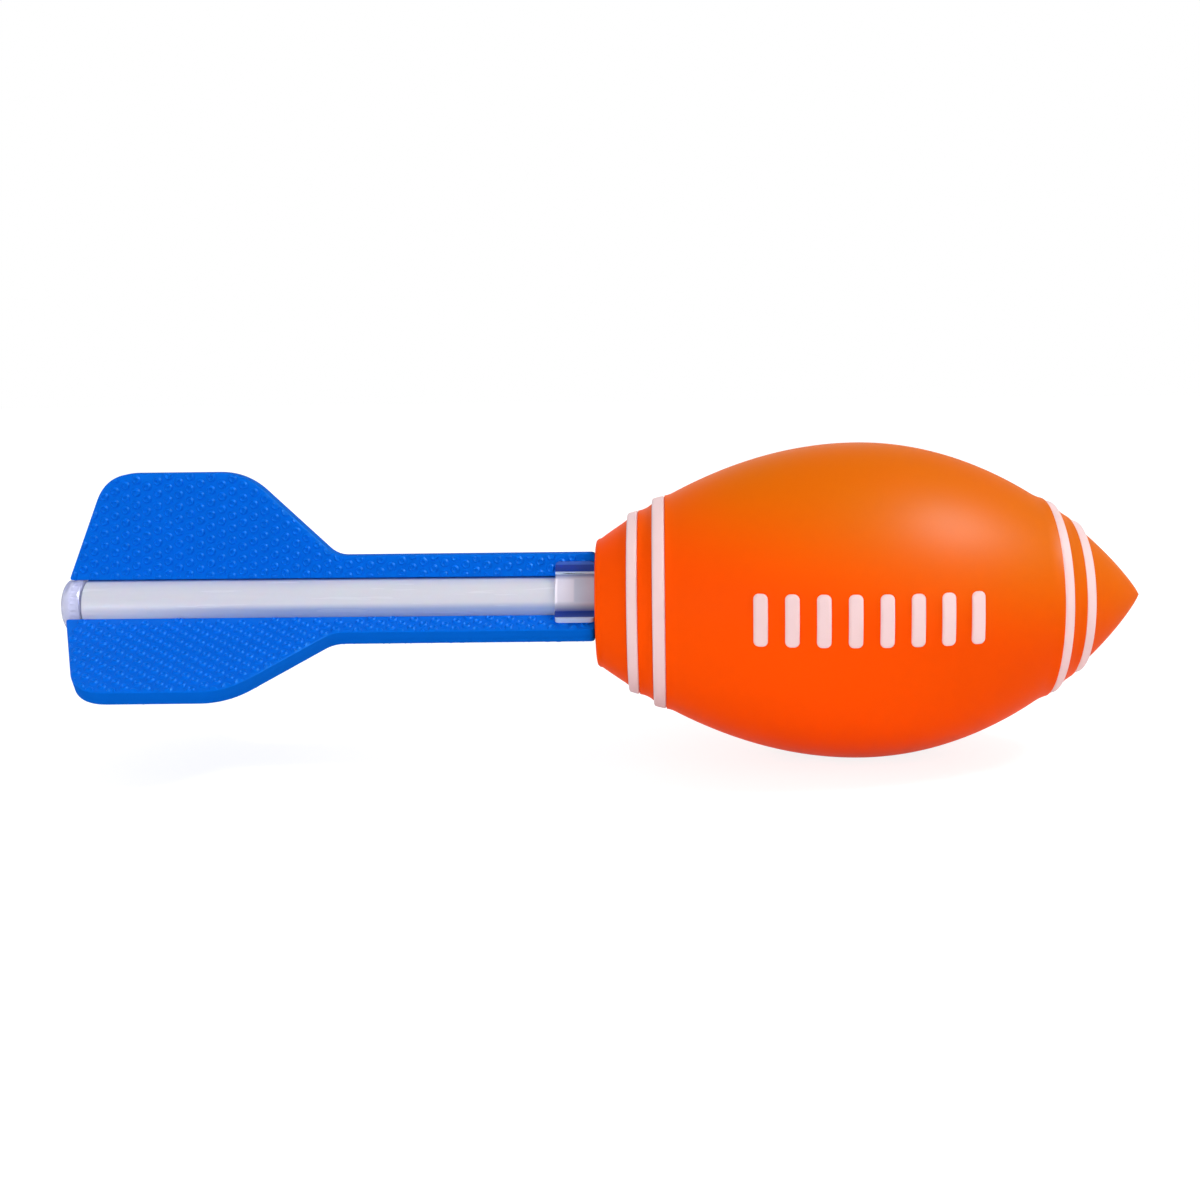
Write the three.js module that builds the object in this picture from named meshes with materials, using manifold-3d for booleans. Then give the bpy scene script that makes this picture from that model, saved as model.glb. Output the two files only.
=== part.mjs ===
// A vortex throwing toy: a foam football head on a finned tail.
// Lengths are in millimetres. X runs along the toy from tail to nose, and Z points up along one fin.
// While the pieces are made, X is measured from the rear tip of the tail. The last group moves the
// middle of the toy's length to the origin, so the axis of the toy is the X axis.

import * as THREE from "three";
import { mergeVertices } from "three/addons/utils/BufferGeometryUtils.js";
import Module from "manifold-3d";

// Driving dimensions of the whole toy
const toyLength = 318.5;
const fitGap = 0.3;
const cutOverrun = 2;

// Head: a football of revolution, cut off flat at its rear
const headRearFace = 157.7;
const headWidestAt = 234.5;
const headRadius = 46.6;
const headRearReach = 99.1;
const headRearFullnessShare = 1.03;
const headNoseFullnessShare = 0.884;
const headRearEdgeBevel = 1.5;
const headStepLength = 6;
const headSides = 56;

// Raised white bands: where each starts, from the head's rear face or from the nose's tip, how wide
// it is and how far it stands out
const inlayDepth = 1.2;
const rearBandRaise = 1.2;
const noseBandRaise = 1.0;
const bandEdgeBevel = 0.5;
const rearBandOneFromFace = 9.3;
const rearBandOneWidth = 3.1;
const rearBandTwoFromFace = 16.6;
const rearBandTwoWidth = 3.6;
const noseBandOneFromTip = 29.2;
const noseBandOneWidth = 2.9;
const noseBandTwoFromTip = 21.8;
const noseBandTwoWidth = 3.2;

// Lace bars: a row along the side, turned a little up towards the top fin from square to it
const laceCount = 8;
const lacePitch = 8.39;
const laceRowBehindWidest = 1.5;
const laceWidth = 3.85;
const laceLength = 14.4;
const laceCornerRadius = 1.5;
const laceCornerSteps = 4;
const laceRaise = 0.9;
const laceRowTurnDegrees = 1.9;

// Shaft tube
const tubeRadius = 8.0;
const tubeWall = 1.5;
const tubeEndBehindHead = 6.6;
const tubeSides = 40;

// End cap: a shallow dome and a rim as wide as the tube, with a hollow spigot inside the tube
const capDomeLength = 2.5;
const capRimLength = 4.7;
const capSpigotLength = 7.5;
const capSpigotWall = 1.2;
const capBoreStart = 2.1;
const domeSteps = 8;

// Fins: three alike foam sheets around the tube
const finCount = 3;
const finThickness = 4.6;
const finTipRadius = 39.9;
const finNeckRadius = 15.1;
const finTailRootAt = 2.3;
const finTailCornerAt = 14.7;
const finFrontCornerAt = 55.6;
const finNeckStartAt = 81.2;
const finTailCornerRadius = 12.6;
const finFrontCornerRadius = 19.6;
const finNeckCornerRadius = 7.7;
const finNeckEndRadius = 1.2;
const finCurveSteps = 10;

// Ferrule: holds the tube and the fin necks, and is pushed into the head
const ferruleHubLength = 11.9;
const ferruleHubRadius = 10.0;
const ferrulePlugLength = 14;
const wingTipRadius = 12.7;
const wingThickness = 1.5;
const wingCornerRadius = 1.5;
const wingCornerSteps = 4;
const spigotBarbRadius = 8.0;
const spigotCoreRadius = 7.2;
const spigotLength = 36;
const spigotBarbCount = 6;
const spigotTipBevel = 1.5;

const laceRowCentre = headWidestAt - laceRowBehindWidest;
const tubeFrontEnd = headRearFace - tubeEndBehindHead;
const ferruleRearEnd = headRearFace - ferruleHubLength;
const capRimEnd = capDomeLength + capRimLength;
const headSocketRadius = spigotBarbRadius + fitGap;
const headSocketEnd = headRearFace + spigotLength + fitGap;
const tubeBore = tubeRadius - tubeWall;
const tubeRearEnd = capRimEnd + fitGap;

const orangeFoam = { color: 0xf45604, roughness: 0.62, metalness: 0 };
const whitePaint = { color: 0xf2ecee, roughness: 0.45, metalness: 0 };
const blueFoam = { color: 0x0662d8, roughness: 0.7, metalness: 0 };
const milkyPlastic = { color: 0xd0d3e0, roughness: 0.2, metalness: 0 };
const clearPlastic = { color: 0xbfc6e3, roughness: 0.1, metalness: 0 };

const wasm = await Module();
wasm.setup();

// A closed three.js geometry as a manifold solid
function toSolid(geometry) {
  const bare = geometry.clone();
  bare.deleteAttribute("normal");
  bare.deleteAttribute("uv");
  const merged = mergeVertices(bare);
  const vertProperties = new Float32Array(merged.attributes.position.array);
  const triVerts = new Uint32Array(merged.index.array);
  return new wasm.Manifold(new wasm.Mesh({ numProp: 3, vertProperties, triVerts }));
}

// A manifold solid as a three.js geometry
function toGeometry(solid) {
  const mesh = solid.getMesh();
  const geometry = new THREE.BufferGeometry();
  geometry.setAttribute("position", new THREE.BufferAttribute(mesh.vertProperties, 3));
  geometry.setIndex(new THREE.BufferAttribute(mesh.triVerts, 1));
  geometry.computeVertexNormals();
  return geometry;
}

// A solid of revolution about X, from points given as [place along X, radius]
function turnedAboutX(points, sides) {
  const profile = points.map(([along, radius]) => new THREE.Vector2(radius, along));
  return new THREE.LatheGeometry(profile, sides).rotateZ(-Math.PI / 2);
}

// The smooth radius of the head at a place along X, before the bands and bars are added
function headSkinRadius(along) {
  const towardsNose = along > headWidestAt;
  const reach = towardsNose ? toyLength - headWidestAt : headRearReach;
  const fullness = towardsNose ? headNoseFullnessShare : headRearFullnessShare;
  const share = Math.min(Math.abs(along - headWidestAt) / reach, 1);
  return headRadius * Math.pow(1 - share * share, fullness);
}

// Points on the head's skin between two places, at an even step
function headSkinPoints(from, to, raise) {
  const steps = Math.ceil((to - from) / headStepLength);
  const points = [];
  for (let step = 0; step <= steps; step += 1) {
    const along = from + ((to - from) * step) / steps;
    points.push([along, headSkinRadius(along) + raise]);
  }
  return points;
}

const bands = [
  {
    name: "rear_band_1",
    start: headRearFace + rearBandOneFromFace,
    width: rearBandOneWidth,
    raise: rearBandRaise,
  },
  {
    name: "rear_band_2",
    start: headRearFace + rearBandTwoFromFace,
    width: rearBandTwoWidth,
    raise: rearBandRaise,
  },
  {
    name: "nose_band_1",
    start: toyLength - noseBandOneFromTip,
    width: noseBandOneWidth,
    raise: noseBandRaise,
  },
  {
    name: "nose_band_2",
    start: toyLength - noseBandTwoFromTip,
    width: noseBandTwoWidth,
    raise: noseBandRaise,
  },
];

// The groove in the head's outline that a band lies in
function grooveOutline(band) {
  const start = band.start - fitGap;
  const end = band.start + band.width + fitGap;
  return [
    [start, headSkinRadius(start)],
    [start, headSkinRadius(start) - inlayDepth],
    [end, headSkinRadius(end) - inlayDepth],
    [end, headSkinRadius(end)],
  ];
}

// A band: a ring with its lower part in the groove and its outer edges bevelled
function bandRing(band) {
  const start = band.start;
  const end = band.start + band.width;
  const seat = inlayDepth - fitGap;
  const points = [
    [start, headSkinRadius(start) - seat],
    [start, headSkinRadius(start) + band.raise - bandEdgeBevel],
    [start + bandEdgeBevel, headSkinRadius(start + bandEdgeBevel) + band.raise],
    [end - bandEdgeBevel, headSkinRadius(end - bandEdgeBevel) + band.raise],
    [end, headSkinRadius(end) + band.raise - bandEdgeBevel],
    [end, headSkinRadius(end) - seat],
    [start, headSkinRadius(start) - seat],
  ];
  return turnedAboutX(points, headSides);
}

// The head's outline, from the bottom of the socket round the rear face and over the skin to the nose
function headOutline() {
  const rearRim = headRearFace + headRearEdgeBevel;
  const rearFaceRadius = headSkinRadius(rearRim) - headRearEdgeBevel;
  const points = [
    [headSocketEnd, 0],
    [headSocketEnd, headSocketRadius],
    [headRearFace, headSocketRadius],
    [headRearFace, rearFaceRadius],
  ];
  let from = rearRim;
  for (const band of bands) {
    const groove = grooveOutline(band);
    points.push(...headSkinPoints(from, groove[0][0], 0).slice(0, -1), ...groove);
    from = groove[groove.length - 1][0];
  }
  points.push(...headSkinPoints(from, toyLength, 0).slice(1));
  return points;
}

// A closed layer that follows the head's skin, between two heights above it
function skinLayer(from, to, low, high) {
  const outer = headSkinPoints(from, to, high);
  const inner = headSkinPoints(from, to, low).reverse();
  const points = [...inner, ...outer, inner[0]];
  return toSolid(turnedAboutX(points, headSides));
}

// A flat outline with rounded corners, from points given as [x, y, corner radius]
function roundedOutline(corners) {
  const shape = new THREE.Shape();
  corners.forEach(([x, y, radius], index) => {
    const corner = new THREE.Vector2(x, y);
    const before = corners[(index + corners.length - 1) % corners.length];
    const after = corners[(index + 1) % corners.length];
    const backward = new THREE.Vector2(before[0], before[1]).sub(corner).normalize();
    const forward = new THREE.Vector2(after[0], after[1]).sub(corner).normalize();
    const halfAngle = Math.acos(backward.dot(forward)) / 2;
    const cutBack = radius / Math.tan(halfAngle);
    const arcStart = corner.clone().addScaledVector(backward, cutBack);
    const arcEnd = corner.clone().addScaledVector(forward, cutBack);
    if (index === 0) {
      shape.moveTo(arcStart.x, arcStart.y);
    } else {
      shape.lineTo(arcStart.x, arcStart.y);
    }
    if (radius > 0) {
      shape.quadraticCurveTo(corner.x, corner.y, arcEnd.x, arcEnd.y);
    }
  });
  shape.closePath();
  return shape;
}

// A sheet whose outline lies in X and Z, centred on the plane Y = 0
function uprightSheet(shape, thickness, steps) {
  const options = { depth: thickness, bevelEnabled: false, curveSegments: steps };
  return new THREE.ExtrudeGeometry(shape, options).rotateX(Math.PI / 2).translate(0, thickness / 2, 0);
}

// A straight prism that goes out through the skin on the side of the lace bars, towards -Y
function lacePrism(centre, grow) {
  const halfWidth = laceWidth / 2 + grow;
  const halfLength = laceLength / 2 + grow;
  const corner = laceCornerRadius + grow;
  const outline = roundedOutline([
    [centre - halfWidth, -halfLength, corner],
    [centre + halfWidth, -halfLength, corner],
    [centre + halfWidth, halfLength, corner],
    [centre - halfWidth, halfLength, corner],
  ]);
  const depth = headRadius + cutOverrun;
  const options = { depth, bevelEnabled: false, curveSegments: laceCornerSteps };
  const turn = Math.PI / 2 - THREE.MathUtils.degToRad(laceRowTurnDegrees);
  return toSolid(new THREE.ExtrudeGeometry(outline, options).rotateX(turn));
}

function laceCentre(index) {
  return laceRowCentre + (index - (laceCount - 1) / 2) * lacePitch;
}

function makeHead() {
  let head = toSolid(turnedAboutX(headOutline(), headSides));
  const rowHalf = (laceCount * lacePitch) / 2;
  const from = laceRowCentre - rowHalf;
  const to = laceRowCentre + rowHalf;
  const pocketLayer = skinLayer(from, to, -inlayDepth, cutOverrun);
  for (let index = 0; index < laceCount; index += 1) {
    head = head.subtract(lacePrism(laceCentre(index), fitGap).intersect(pocketLayer));
  }
  return toGeometry(head);
}

function makeLaceBar(index) {
  const centre = laceCentre(index);
  const from = centre - lacePitch / 2;
  const to = centre + lacePitch / 2;
  const layer = skinLayer(from, to, fitGap - inlayDepth, laceRaise);
  return toGeometry(lacePrism(centre, 0).intersect(layer));
}

function makeTube() {
  const points = [
    [tubeRearEnd, tubeBore],
    [tubeRearEnd, tubeRadius],
    [tubeFrontEnd, tubeRadius],
    [tubeFrontEnd, tubeBore],
    [tubeRearEnd, tubeBore],
  ];
  return turnedAboutX(points, tubeSides);
}

function makeEndCap() {
  const points = [];
  for (let step = 0; step <= domeSteps; step += 1) {
    const angle = (Math.PI / 2) * (step / domeSteps);
    points.push([capDomeLength * (1 - Math.cos(angle)), tubeRadius * Math.sin(angle)]);
  }
  const spigotRadius = tubeBore - fitGap;
  const boreRadius = spigotRadius - capSpigotWall;
  points.push(
    [capRimEnd, tubeRadius],
    [capRimEnd, spigotRadius],
    [capRimEnd + capSpigotLength, spigotRadius],
    [capRimEnd + capSpigotLength, boreRadius],
    [capBoreStart, boreRadius],
    [capBoreStart, 0],
  );
  return turnedAboutX(points, tubeSides);
}

// A fin stands on the tube and on the cap's rim
function makeFin() {
  const seat = tubeRadius + fitGap;
  const neckEnd = headRearFace - fitGap;
  const outline = roundedOutline([
    [finTailRootAt, seat, 0],
    [finTailCornerAt, finTipRadius, finTailCornerRadius],
    [finFrontCornerAt, finTipRadius, finFrontCornerRadius],
    [finNeckStartAt, finNeckRadius, finNeckCornerRadius],
    [neckEnd, finNeckRadius, finNeckEndRadius],
    [neckEnd, seat, 0],
  ].reverse());
  return uprightSheet(outline, finThickness, finCurveSteps);
}

// The ferrule's round body: plug in the tube, sleeve over the tube's end, and barbed spigot
function ferruleBody() {
  const hubFront = headRearFace - fitGap;
  const plugRadius = tubeBore - fitGap;
  const sleeveBore = tubeRadius + fitGap;
  const shoulder = tubeFrontEnd + fitGap;
  const barbPitch = (spigotLength - spigotTipBevel) / spigotBarbCount;
  const points = [
    [tubeFrontEnd - ferrulePlugLength, 0],
    [tubeFrontEnd - ferrulePlugLength, plugRadius],
    [shoulder, plugRadius],
    [shoulder, sleeveBore],
    [ferruleRearEnd, sleeveBore],
    [ferruleRearEnd, ferruleHubRadius],
    [hubFront, ferruleHubRadius],
  ];
  for (let barb = 0; barb < spigotBarbCount; barb += 1) {
    const start = hubFront + barb * barbPitch;
    points.push([start, spigotBarbRadius], [start + barbPitch, spigotCoreRadius]);
  }
  const spigotEnd = hubFront + spigotLength;
  points.push([spigotEnd, spigotCoreRadius - spigotTipBevel], [spigotEnd, 0]);
  return toSolid(turnedAboutX(points, tubeSides));
}

function makeFerrule() {
  let ferrule = ferruleBody();
  const hubFront = headRearFace - fitGap;
  const slotHalf = finThickness / 2 + fitGap;
  const wingShape = roundedOutline([
    [ferruleRearEnd, tubeRadius + fitGap, 0],
    [hubFront, tubeRadius + fitGap, 0],
    [hubFront, wingTipRadius, wingCornerRadius],
    [ferruleRearEnd, wingTipRadius, wingCornerRadius],
  ]);
  const slotShape = roundedOutline([
    [ferruleRearEnd - cutOverrun, tubeRadius, 0],
    [headRearFace, tubeRadius, 0],
    [headRearFace, wingTipRadius + cutOverrun, 0],
    [ferruleRearEnd - cutOverrun, wingTipRadius + cutOverrun, 0],
  ]);
  const wingPair = toSolid(uprightSheet(wingShape, 2 * (slotHalf + wingThickness), wingCornerSteps));
  const slot = toSolid(uprightSheet(slotShape, 2 * slotHalf, wingCornerSteps));
  for (let index = 0; index < finCount; index += 1) {
    const turn = [(360 / finCount) * index, 0, 0];
    ferrule = ferrule.add(wingPair.rotate(turn)).subtract(slot.rotate(turn));
  }
  return toGeometry(ferrule);
}

function named(name, geometry, look) {
  const mesh = new THREE.Mesh(geometry, new THREE.MeshStandardMaterial(look));
  mesh.name = name;
  return mesh;
}

const toy = new THREE.Group();
toy.position.x = -toyLength / 2;

toy.add(named("head_foam", makeHead(), orangeFoam));
for (const band of bands) {
  toy.add(named(band.name, bandRing(band), whitePaint));
}
for (let index = 0; index < laceCount; index += 1) {
  toy.add(named(`lace_bar_${index + 1}`, makeLaceBar(index), whitePaint));
}
toy.add(named("shaft_tube", makeTube(), milkyPlastic));
toy.add(named("end_cap", makeEndCap(), clearPlastic));
toy.add(named("ferrule", makeFerrule(), clearPlastic));

const finNames = ["top_fin", "right_fin", "left_fin"];
finNames.forEach((name, index) => {
  const fin = named(name, makeFin(), blueFoam);
  fin.rotation.x = (index * 2 * Math.PI) / finCount;
  toy.add(fin);
});

export default toy;
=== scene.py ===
# %% [markdown]
# A vortex throwing toy: a soft foam football with a light finned tail, thrown like a dart.
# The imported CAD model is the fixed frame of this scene. Everything is in metres, X runs along the toy
# from the tail to the nose, and Z points up along one fin. Blender never moves the CAD parts. Where a
# plain solid isn't fine enough to look at, it is hidden and a finer mesh takes its place.

import math

import bmesh
import bpy
import numpy as np
from mathutils import Matrix, Vector
from mathutils.geometry import delaunay_2d_cdt


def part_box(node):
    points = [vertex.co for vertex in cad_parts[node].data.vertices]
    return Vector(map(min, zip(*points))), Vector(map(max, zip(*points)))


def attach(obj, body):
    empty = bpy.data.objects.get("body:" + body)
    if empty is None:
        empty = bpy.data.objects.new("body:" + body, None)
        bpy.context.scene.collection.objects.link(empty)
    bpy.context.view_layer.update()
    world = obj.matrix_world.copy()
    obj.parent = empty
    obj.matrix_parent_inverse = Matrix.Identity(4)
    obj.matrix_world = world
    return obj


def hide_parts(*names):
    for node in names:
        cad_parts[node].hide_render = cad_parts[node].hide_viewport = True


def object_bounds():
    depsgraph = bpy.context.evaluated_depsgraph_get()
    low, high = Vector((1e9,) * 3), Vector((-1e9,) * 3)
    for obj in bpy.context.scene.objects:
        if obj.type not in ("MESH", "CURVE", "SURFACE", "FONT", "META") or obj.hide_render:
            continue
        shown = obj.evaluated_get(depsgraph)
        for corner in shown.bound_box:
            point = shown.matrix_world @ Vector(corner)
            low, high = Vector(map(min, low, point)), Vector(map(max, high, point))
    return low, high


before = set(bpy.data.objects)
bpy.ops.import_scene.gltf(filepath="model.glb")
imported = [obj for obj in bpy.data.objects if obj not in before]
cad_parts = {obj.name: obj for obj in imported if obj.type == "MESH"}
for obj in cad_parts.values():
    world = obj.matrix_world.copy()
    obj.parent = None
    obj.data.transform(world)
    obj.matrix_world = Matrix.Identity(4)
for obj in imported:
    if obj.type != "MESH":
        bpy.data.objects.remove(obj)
cad_low, cad_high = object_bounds()

MM = 0.001
BODY = "root"
tail_tip = cad_low.x
nose_tip = cad_high.x
print("CAD box in mm:", [round(size / MM, 1) for size in cad_high - cad_low])

# %% [markdown]
# The photograph looks at the toy's side from a little above and from close by: the fins at the tail are
# seen from the front and the nose from behind. So the camera is a 45 mm lens about 45 cm away. It stands
# opposite a place near the middle of the toy, which isn't the middle of the picture, and a lens shift
# makes up for that. The toy's axis also leans by less than a degree, and the camera is rolled by as much.

# %% Camera
PHOTO_SIDE_PX = 1200
AXIS_FOOT_PX = (668.6, 602.0)
LENS = 45
CAMERA_DISTANCE = 445.5 * MM
CAMERA_OPPOSITE = 19.65 * MM
CAMERA_ELEVATION = math.radians(9.1)
CAMERA_ROLL = math.radians(0.62)


def camera_matrix():
    back = Vector((0, -math.cos(CAMERA_ELEVATION), math.sin(CAMERA_ELEVATION)))
    level_right = Vector((1, 0, 0))
    level_up = back.cross(level_right)
    right = level_right * math.cos(CAMERA_ROLL) - level_up * math.sin(CAMERA_ROLL)
    up = level_right * math.sin(CAMERA_ROLL) + level_up * math.cos(CAMERA_ROLL)
    matrix = Matrix((right, up, back)).transposed().to_4x4()
    matrix.translation = Vector((CAMERA_OPPOSITE, 0, 0)) + back * CAMERA_DISTANCE
    return matrix


camera_data = bpy.data.cameras.new("camera")
camera_data.lens = LENS
camera_data.shift_x = (PHOTO_SIDE_PX / 2 - AXIS_FOOT_PX[0]) / PHOTO_SIDE_PX
camera_data.shift_y = (AXIS_FOOT_PX[1] - PHOTO_SIDE_PX / 2) / PHOTO_SIDE_PX
camera = bpy.data.objects.new("camera", camera_data)
camera.matrix_world = camera_matrix()
bpy.context.scene.collection.objects.link(camera)
bpy.context.scene.camera = camera
bpy.context.scene.view_settings.view_transform = "Standard"
print("camera at", [round(place, 3) for place in camera.location])

# %% [markdown]
# Every look in this scene is a tree of nodes, and two small helpers serve them all. The first gives a
# node its inputs: a number or colour is set, and another node's output is linked. The second adds a Math
# node, for the masks.

# %% Node helpers
WHITE = (1, 1, 1, 1)


def with_inputs(node, **values):
    """The node with its inputs set or linked. An underscore stands for a space in an input's name."""
    for label, value in values.items():
        socket = node.inputs[label.replace("_", " ")]
        if isinstance(value, bpy.types.NodeSocket):
            node.id_data.links.new(value, socket)
        else:
            socket.default_value = value
    return node


def add_math(tree, operation, first, second=0):
    """The output of a Math node. Each input is a socket or a number."""
    node = tree.nodes.new("ShaderNodeMath")
    node.operation = operation
    for index, value in enumerate((first, second)):
        if isinstance(value, bpy.types.NodeSocket):
            tree.links.new(value, node.inputs[index])
        else:
            node.inputs[index].default_value = value
    return node.outputs[0]


# %% [markdown]
# The toy lies on a white floor in a white room. Light Path tells which ray is asking: the camera, a
# reflection and a look through clear plastic all see plain white, and the light that falls on the toy
# stays at its own, lower level. The floor adds a weak matt part for the camera, so the soft shadow under
# the ball still shows.

# %% White room and floor
ROOM_LIGHT = 0.60
FLOOR_HALF_SIDE = 4.0
FLOOR_BOUNCE = (0.85, 0.85, 0.85, 1)
FLOOR_MATT_SEEN = (0.34, 0.34, 0.34, 1)
FLOOR_GLOW_SEEN = 0.84


def show_by_ray(tree, lighting, seen, output):
    """One shader lights the toy. The other is what the camera, reflections and clear plastic see."""
    path = tree.nodes.new("ShaderNodeLightPath")
    asking = path.outputs["Is Camera Ray"]
    for label in ("Is Glossy Ray", "Is Transmission Ray"):
        asking = add_math(tree, "MAXIMUM", asking, path.outputs[label])
    choice = tree.nodes.new("ShaderNodeMixShader")
    for index, socket in enumerate((asking, lighting.outputs[0], seen.outputs[0])):
        tree.links.new(socket, choice.inputs[index])
    tree.links.new(choice.outputs[0], tree.nodes[output].inputs["Surface"])


def make_world():
    world = bpy.data.worlds.new("white_room")
    world.use_nodes = True
    tree = world.node_tree
    lighting = with_inputs(tree.nodes["Background"], Color=WHITE, Strength=ROOM_LIGHT)
    seen = with_inputs(tree.nodes.new("ShaderNodeBackground"), Color=WHITE, Strength=1)
    show_by_ray(tree, lighting, seen, "World Output")
    bpy.context.scene.world = world


def floor_material():
    material = bpy.data.materials.new("white_floor")
    material.use_nodes = True
    tree = material.node_tree
    tree.nodes.remove(tree.nodes["Principled BSDF"])
    bounce = with_inputs(tree.nodes.new("ShaderNodeBsdfDiffuse"), Color=FLOOR_BOUNCE)
    matt = with_inputs(tree.nodes.new("ShaderNodeBsdfDiffuse"), Color=FLOOR_MATT_SEEN)
    glow = with_inputs(tree.nodes.new("ShaderNodeEmission"), Strength=FLOOR_GLOW_SEEN)
    seen = tree.nodes.new("ShaderNodeAddShader")
    tree.links.new(matt.outputs[0], seen.inputs[0])
    tree.links.new(glow.outputs[0], seen.inputs[1])
    show_by_ray(tree, bounce, seen, "Material Output")
    return material


make_world()
side = FLOOR_HALF_SIDE
floor_mesh = bpy.data.meshes.new("floor")
floor_corners = [(-side, -side, 0), (side, -side, 0), (side, side, 0), (-side, side, 0)]
floor_mesh.from_pydata(floor_corners, [], [(0, 1, 2, 3)])
floor_mesh.materials.append(floor_material())
floor = bpy.data.objects.new("floor", floor_mesh)
floor.location.z = cad_low.z
bpy.context.scene.collection.objects.link(floor)
print("floor at", round(cad_low.z / MM, 1), "mm")

# %% [markdown]
# Five softboxes shape the toy. A small one over the nose half gives the form its light. A large one near
# it is seen by reflections alone, and leaves the broad soft glow on the ball's upper right. It is strong,
# so that the foam's own gloss can be very weak, which keeps the white room out of the foam's colours. Two
# low ones in front fill the side that the camera sees, and a weak one fills the far side. Each is given by
# the light that it adds to a surface that faces it, where 1 would light a white surface fully by itself.

# %% Softboxes
WARM_WHITE = (1.0, 0.97, 0.92)
FRONT_WHITE = (1.0, 0.98, 0.97)
PLAIN_WHITE = (1.0, 1.0, 1.0)


def add_softbox(name, place, width, height, level, colour, only_shine=False):
    reach = Vector(place).length
    lamp = bpy.data.lights.new(name, "AREA")
    lamp.shape = "RECTANGLE"
    lamp.size = width
    lamp.size_y = height
    lamp.energy = level * (math.pi * reach) ** 2
    lamp.color = colour
    softbox = bpy.data.objects.new(name, lamp)
    softbox.location = place
    softbox.rotation_euler = Vector(place).to_track_quat("Z", "Y").to_euler()
    softbox.visible_diffuse = not only_shine
    softbox.visible_transmission = not only_shine
    bpy.context.scene.collection.objects.link(softbox)
    print(name, "at", place)


add_softbox(
    "over_the_nose", place=(0.68, -0.12, 0.89), width=0.18, height=0.18, level=0.34, colour=WARM_WHITE
)
add_softbox(
    "shine_of_the_nose_lamp",
    place=(0.70, -0.33, 0.83), width=0.40, height=0.40, level=11.5, colour=PLAIN_WHITE, only_shine=True,
)
add_softbox(
    "front_right", place=(0.60, -0.90, 0.12), width=0.4, height=0.3, level=0.16, colour=FRONT_WHITE
)
add_softbox(
    "front_left", place=(-0.70, -0.90, 0.10), width=0.8, height=0.3, level=0.26, colour=FRONT_WHITE
)
add_softbox("far_side", place=(-0.2, 1.10, 0.45), width=1.0, height=0.5, level=0.10, colour=PLAIN_WHITE)

# %% [markdown]
# The finishes share three small effects, and each effect is a node group with named inputs. Grain gives a
# height for a bump: the skin of foam or the faint pitting of moulded plastic. Tone drift blends two
# colours in large soft patches, because no real foam or paint is one flat colour. Gloss drift moves the
# roughness up and down in the same soft way, as handling does.

# %% Shader node groups
NOISE_MIDDLE = 0.5


def blended(tree, first, second, mask):
    """Two colours, each a socket or a plain colour, mixed by a mask."""
    blend = tree.nodes.new("ShaderNodeMix")
    blend.data_type = "RGBA"
    return with_inputs(blend, A=first, B=second, Factor=mask).outputs["Result"]


def new_group(name, output, kind, **defaults):
    """A node group with a Position, an input for each default value, and one output."""
    group = bpy.data.node_groups.new(name, "ShaderNodeTree")
    group.interface.new_socket(name="Position", in_out="INPUT", socket_type="NodeSocketVector")
    for label, value in defaults.items():
        socket_type = "NodeSocketColor" if isinstance(value, tuple) else "NodeSocketFloat"
        label = label.replace("_", " ")
        socket = group.interface.new_socket(name=label, in_out="INPUT", socket_type=socket_type)
        socket.default_value = value
    group.interface.new_socket(name=output, in_out="OUTPUT", socket_type=kind)
    return group, group.nodes.new("NodeGroupInput").outputs, group.nodes.new("NodeGroupOutput")


def add_noise(group, position, scale, detail, roughness=0.5):
    noise = group.nodes.new("ShaderNodeTexNoise")
    return with_inputs(noise, Vector=position, Scale=scale, Detail=detail, Roughness=roughness).outputs[0]


def make_grain_group():
    group, entry, result = new_group("grain", "Height", "NodeSocketFloat", Grains_per_metre=4000, Pits=0.3)
    position, scale = entry["Position"], entry["Grains per metre"]
    noise = add_noise(group, position, scale, detail=3, roughness=0.6)
    cells = with_inputs(group.nodes.new("ShaderNodeTexVoronoi"), Vector=position, Scale=scale)
    pits = add_math(group, "MULTIPLY", cells.outputs["Distance"], entry["Pits"])
    with_inputs(result, Height=add_math(group, "ADD", noise, pits))
    return group


def make_tone_group():
    group, entry, result = new_group(
        "tone_drift", "Colour", "NodeSocketColor",
        Colour=WHITE, Drift_colour=WHITE, Patches_per_metre=30, Amount=0.5,
    )
    noise = add_noise(group, entry["Position"], entry["Patches per metre"], detail=2)
    share = add_math(group, "MULTIPLY", noise, entry["Amount"])
    with_inputs(result, Colour=blended(group, entry["Colour"], entry["Drift colour"], share))
    return group


def make_gloss_group():
    group, entry, result = new_group(
        "gloss_drift", "Roughness", "NodeSocketFloat", Roughness=0.5, Spread=0.1, Patches_per_metre=60
    )
    noise = add_noise(group, entry["Position"], entry["Patches per metre"], detail=3)
    centred = add_math(group, "SUBTRACT", noise, NOISE_MIDDLE)
    swing = add_math(group, "MULTIPLY", centred, entry["Spread"])
    with_inputs(result, Roughness=add_math(group, "ADD", swing, entry["Roughness"]))
    return group


grain_group = make_grain_group()
tone_group = make_tone_group()
gloss_group = make_gloss_group()
print("node groups:", [group.name for group in bpy.data.node_groups])

# %% [markdown]
# Each material starts from the same few steps: a Principled shader, the place on the toy as texture
# coordinates, and the three groups where the finish needs them. Object coordinates are used because
# every piece is built in the toy's own frame, so a pattern has its real size everywhere.

# %% Material helpers


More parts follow.
